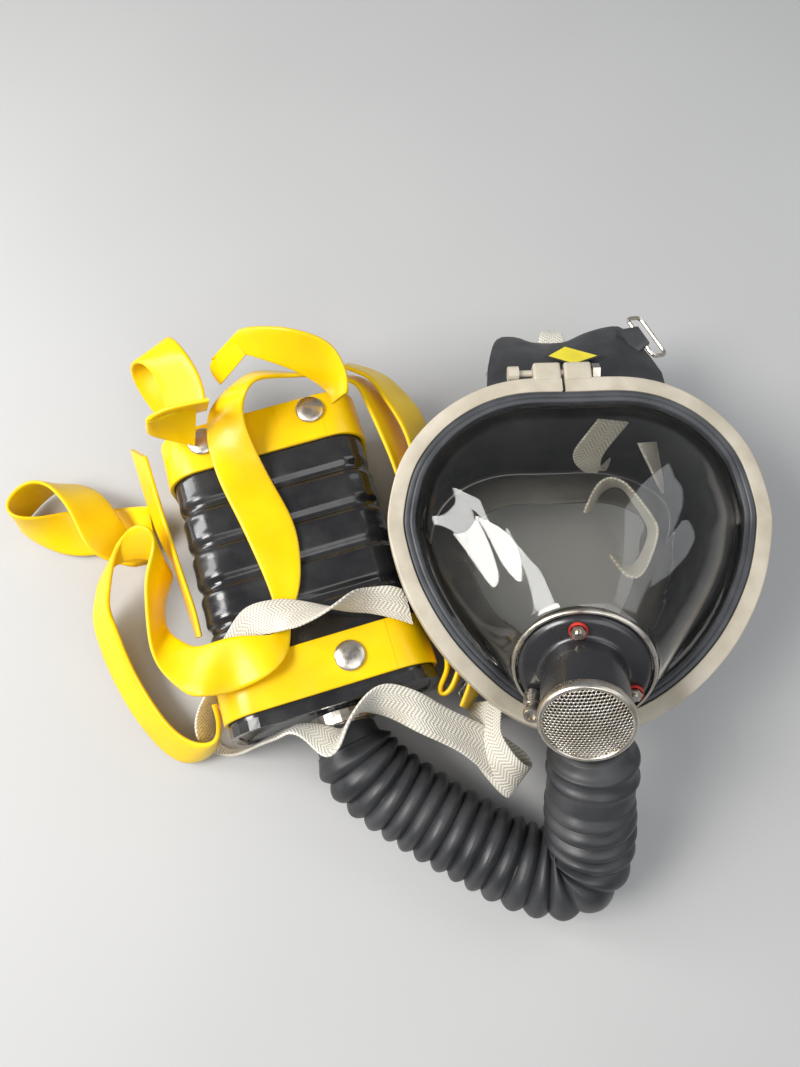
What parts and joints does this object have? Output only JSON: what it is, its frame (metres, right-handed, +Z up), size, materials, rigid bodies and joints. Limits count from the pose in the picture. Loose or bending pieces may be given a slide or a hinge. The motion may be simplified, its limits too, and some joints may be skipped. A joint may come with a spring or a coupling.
{
  "type": "full face respirator",
  "caption": "Full-face fire mask lying lens up, valve housing at its chin, ribbed hose to a flat filter canister wrapped in rubber harness straps and cotton webbing",
  "frame": {"origin": "the middle of the footprint, on the surface the respirator lies on", "axes": "+X runs from the canister to the mask, +Y up the face to the forehead, +Z up, the way the lens looks"},
  "size_m": [0.3943, 0.3102, 0.1237],
  "materials": {
    "clear_plastic": "clear moulded plastic, polished",
    "cream_paint": "cream paint, satin",
    "black_rubber": "dark grey-black rubber",
    "grey_rubber": "soft grey rubber",
    "black_plastic": "black, glossy",
    "bright_metal": "nickel plated, a little worn",
    "black_paint": "glossy black paint on pressed steel",
    "yellow_rubber": "bright yellow, glossy, smooth",
    "cotton": "off-white woven cotton webbing",
    "filter_felt": "pleated filter felt",
    "charcoal": "packed charcoal granules",
    "label": "plain yellow label, no text"
  },
  "bodies": {
    "respirator": {"band_nut": "bright_metal", "band_screw": "cream_paint", "bed_spring": "bright_metal", "breathing_hose": "black_rubber", "can_base": "black_paint", "can_body": "black_paint", "can_lid": "black_paint", "carbon_bed": "charcoal", "coupling_gasket": "black_rubber", "crown_loop": "cotton", "crown_strap": "cotton", "exhale_cover": "bright_metal", "exhale_seat": "black_plastic", "face_seal": "grey_rubber", "face_skirt": "black_rubber", "folded_strap": "yellow_rubber", "forehead_flap": "black_rubber", "front_loop": "yellow_rubber", "hose_tail": "bright_metal", "inhale_seat": "black_plastic", "inlet_screen": "bright_metal", "label_plate": "label", "left_loop": "yellow_rubber", "lens": "clear_plastic", "lens_clamp_band": "cream_paint", "lens_gasket": "black_rubber", "lower_band": "yellow_rubber", "neck_webbing": "cotton", "outlet_screen": "bright_metal", "particulate_filter": "filter_felt", "port_backing_ring": "bright_metal", "port_ring": "bright_metal", "port_screw_left": "bright_metal", "port_screw_right": "bright_metal", "port_screw_top": "bright_metal", "right_strap": "yellow_rubber", "shoulder_strap": "yellow_rubber", "side_strap": "yellow_rubber", "snap_lower": "bright_metal", "snap_upper_left": "bright_metal", "snap_upper_right": "bright_metal", "spare_loop": "yellow_rubber", "strap_loop": "cotton", "temple_strap": "cotton", "top_loop": "yellow_rubber", "upper_band": "yellow_rubber", "valve_housing": "black_plastic", "waist_webbing": "cotton"},
    "exhale_valve": {"exhale_valve": "black_rubber"},
    "inhale_valve": {"inhale_valve": "black_rubber"},
    "coupling_nut": {"coupling_nut": "bright_metal"},
    "forehead_buckle_right": {"forehead_buckle_right": "bright_metal"},
    "forehead_buckle_left": {"forehead_buckle_left": "bright_metal"},
    "cheek_buckle_right": {"cheek_buckle_right": "bright_metal"},
    "cheek_buckle_left": {"cheek_buckle_left": "bright_metal"}
  },
  "joints": [
    {"name": "exhale_valve_lift", "type": "slide", "parent": "respirator", "child": "exhale_valve", "axis": [-0.1573, -0.7357, 0.6588], "range_m": [0, 0.0015]},
    {"name": "inhale_valve_lift", "type": "slide", "parent": "respirator", "child": "inhale_valve", "axis": [-0.2071, 0.6768, 0.7064], "range_m": [0, 0.002]},
    {"name": "coupling_nut_turn", "type": "hinge", "parent": "respirator", "child": "coupling_nut", "pos_m": [-0.00848, -0.0852, 0.031], "axis": [0.2924, -0.9563, 0], "continuous": true},
    {"name": "forehead_buckle_right_swing", "type": "hinge", "parent": "respirator", "child": "forehead_buckle_right", "pos_m": [0.14979, 0.10621, 0.0622], "axis": [-0.4617, 0.887, 0], "range_deg": [-45, 30]},
    {"name": "forehead_buckle_left_swing", "type": "hinge", "parent": "respirator", "child": "forehead_buckle_left", "pos_m": [0.08381, 0.09688, 0.044], "axis": [-0.8339, -0.5519, 0], "range_deg": [-45, 30]},
    {"name": "cheek_buckle_right_swing", "type": "hinge", "parent": "respirator", "child": "cheek_buckle_right", "pos_m": [0.14921, -0.07047, 0.01], "axis": [0.749, 0.6626, 0], "range_deg": [-60, 30]},
    {"name": "cheek_buckle_left_swing", "type": "hinge", "parent": "respirator", "child": "cheek_buckle_left", "pos_m": [0.06827, -0.07359, 0.01], "axis": [0.7826, -0.6225, 0], "range_deg": [-60, 30]}
  ]
}
